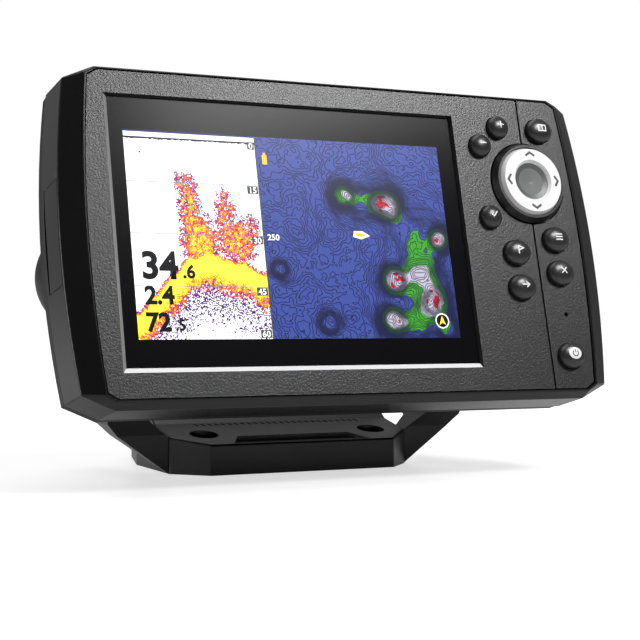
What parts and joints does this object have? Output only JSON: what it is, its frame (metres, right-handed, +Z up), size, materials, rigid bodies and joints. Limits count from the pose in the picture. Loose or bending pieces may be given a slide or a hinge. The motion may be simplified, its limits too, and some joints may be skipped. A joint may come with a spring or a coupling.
{
  "type": "fish finder",
  "caption": "Portable sonar fish finder: a tilting display head with keys and a cursor rocker, held by two hand knobs in a U-shaped gimbal bracket.",
  "frame": {"origin": "centre of the bracket's four deck screw holes, on the bracket's underside", "axes": "+X to the right across the display, +Y to the back, +Z up from the deck"},
  "size_m": [0.1888, 0.1272, 0.1272],
  "materials": {
    "bracket_plastic": "satin",
    "bezel_gloss": "gloss",
    "faceplate_grey": "matte",
    "lens": "gloss",
    "display_glass": "gloss",
    "clear_plastic": "gloss",
    "black_plastic": "matte",
    "silicone": "matte",
    "circuit_board": "satin",
    "steel": "satin",
    "tinned_steel": "satin",
    "antenna_ceramic": "matte",
    "ferrite": "matte",
    "can_aluminium": "satin",
    "housing_plastic": "satin",
    "seal_rubber": "matte",
    "socket_brass": "satin",
    "contact_brass": "satin",
    "door_gloss": "gloss",
    "key_black": "satin",
    "ring_silver": "satin",
    "pad_grey": "satin",
    "key_grey": "satin",
    "knob_plastic": "satin"
  },
  "bodies": {
    "bracket": {"mount_bracket": "bracket_plastic"},
    "head": {"outer_bezel": "bezel_gloss", "faceplate": "faceplate_grey", "cover_glass": "lens", "lcd_panel": "display_glass", "backlight": "clear_plastic", "lcd_frame": "black_plastic", "keypad_mat": "silicone", "light_guide": "clear_plastic", "keypad_board": "circuit_board", "cursor_cradle": "black_plastic", "main_board": "circuit_board", "board_screws": "steel", "keypad_screws": "steel", "shield_cans": "tinned_steel", "buzzer": "black_plastic", "gps_antenna": "antenna_ceramic", "sonar_board": "circuit_board", "sonar_screws": "steel", "sonar_transformers": "ferrite", "capacitors": "can_aluminium", "heat_spreader": "can_aluminium", "card_socket": "tinned_steel", "card_door_pin": "steel", "rear_housing": "housing_plastic", "housing_frame": "housing_plastic", "housing_seal": "seal_rubber", "case_screws": "steel", "power_socket": "socket_brass", "transducer_socket": "socket_brass", "socket_pins": "contact_brass", "socket_nuts": "contact_brass", "pivot_insert_left": "contact_brass", "tilt_washer_left": "seal_rubber", "pivot_insert_right": "contact_brass", "tilt_washer_right": "seal_rubber"},
    "cursor_yoke_ring": {"cursor_yoke": "contact_brass"},
    "cursor": {"cursor_skirt": "key_black", "cursor_ring": "ring_silver", "cursor_pad": "pad_grey"},
    "card_door_leaf": {"card_door": "door_gloss", "card_door_seal": "seal_rubber"},
    "key_plus_cap": {"key_plus": "key_grey"},
    "key_minus_cap": {"key_minus": "key_grey"},
    "key_check_cap": {"key_check": "key_grey"},
    "key_view_cap": {"key_view": "key_grey"},
    "key_menu_cap": {"key_menu": "key_grey"},
    "key_mark_cap": {"key_mark": "key_grey"},
    "key_goto_cap": {"key_goto": "key_grey"},
    "key_exit_cap": {"key_exit": "key_grey"},
    "key_power_cap": {"key_power": "key_grey"},
    "washer_left": {"knob_washer_left": "seal_rubber"},
    "hand_knob_left": {"knob_left": "knob_plastic", "knob_stud_left": "steel"},
    "washer_right": {"knob_washer_right": "seal_rubber"},
    "hand_knob_right": {"knob_right": "knob_plastic", "knob_stud_right": "steel"}
  },
  "joints": [
    {"name": "head_tilt", "type": "hinge", "parent": "bracket", "child": "head", "pos_m": [0, -0.03749, 0.06435], "axis": [1, 0, 0], "range_deg": [-20, 30]},
    {"name": "key_plus_press", "type": "slide", "parent": "head", "child": "key_plus_cap", "axis": [0, 0.9703, -0.2419], "range_m": [0, 0.0008], "stiffness_N_per_m": 1500, "springref_m": -0.0005},
    {"name": "key_minus_press", "type": "slide", "parent": "head", "child": "key_minus_cap", "axis": [0, 0.9703, -0.2419], "range_m": [0, 0.0008], "stiffness_N_per_m": 1500, "springref_m": -0.0005},
    {"name": "key_check_press", "type": "slide", "parent": "head", "child": "key_check_cap", "axis": [0, 0.9703, -0.2419], "range_m": [0, 0.0008], "stiffness_N_per_m": 1500, "springref_m": -0.0005},
    {"name": "key_view_press", "type": "slide", "parent": "head", "child": "key_view_cap", "axis": [0, 0.9703, -0.2419], "range_m": [0, 0.0008], "stiffness_N_per_m": 1500, "springref_m": -0.0005},
    {"name": "key_menu_press", "type": "slide", "parent": "head", "child": "key_menu_cap", "axis": [0, 0.9703, -0.2419], "range_m": [0, 0.0008], "stiffness_N_per_m": 1500, "springref_m": -0.0005},
    {"name": "key_mark_press", "type": "slide", "parent": "head", "child": "key_mark_cap", "axis": [0, 0.9703, -0.2419], "range_m": [0, 0.0008], "stiffness_N_per_m": 1500, "springref_m": -0.0005},
    {"name": "key_goto_press", "type": "slide", "parent": "head", "child": "key_goto_cap", "axis": [0, 0.9703, -0.2419], "range_m": [0, 0.0008], "stiffness_N_per_m": 1500, "springref_m": -0.0005},
    {"name": "key_exit_press", "type": "slide", "parent": "head", "child": "key_exit_cap", "axis": [0, 0.9703, -0.2419], "range_m": [0, 0.0008], "stiffness_N_per_m": 1500, "springref_m": -0.0005},
    {"name": "key_power_press", "type": "slide", "parent": "head", "child": "key_power_cap", "axis": [0, 0.9703, -0.2419], "range_m": [0, 0.0008], "stiffness_N_per_m": 1500, "springref_m": -0.0005},
    {"name": "cursor_up_down", "type": "hinge", "parent": "head", "child": "cursor_yoke_ring", "pos_m": [0.0681, -0.06586, 0.09606], "axis": [1, 0, 0], "range_deg": [-2.5, 2.5], "stiffness_Nm_per_rad": 0.8},
    {"name": "cursor_left_right", "type": "hinge", "parent": "cursor_yoke_ring", "child": "cursor", "pos_m": [0.0681, -0.06586, 0.09606], "axis": [0, 0.2419, 0.9703], "range_deg": [-2.5, 2.5], "stiffness_Nm_per_rad": 0.8},
    {"name": "card_door_swing", "type": "hinge", "parent": "head", "child": "card_door_leaf", "pos_m": [-0.09297, -0.06037, 0.07428], "axis": [0, -0.2419, -0.9703], "range_deg": [0, 90]},
    {"name": "knob_left_back_off", "type": "slide", "parent": "head", "child": "washer_left", "axis": [-1, 0, 0], "range_m": [0, 0.0025]},
    {"name": "knob_left_turn", "type": "hinge", "parent": "washer_left", "child": "hand_knob_left", "pos_m": [-0.0685, -0.03749, 0.06435], "axis": [-1, 0, 0], "range_deg": [0, 725]},
    {"name": "knob_right_back_off", "type": "slide", "parent": "head", "child": "washer_right", "axis": [1, 0, 0], "range_m": [0, 0.0025]},
    {"name": "knob_right_turn", "type": "hinge", "parent": "washer_right", "child": "hand_knob_right", "pos_m": [0.0685, -0.03749, 0.06435], "axis": [1, 0, 0], "range_deg": [0, 725]}
  ],
  "couplings": [
    {"joint": "knob_left_turn", "follows": "knob_left_back_off", "rad_per_m": 5026.5},
    {"joint": "knob_right_turn", "follows": "knob_right_back_off", "rad_per_m": 5026.5}
  ]
}
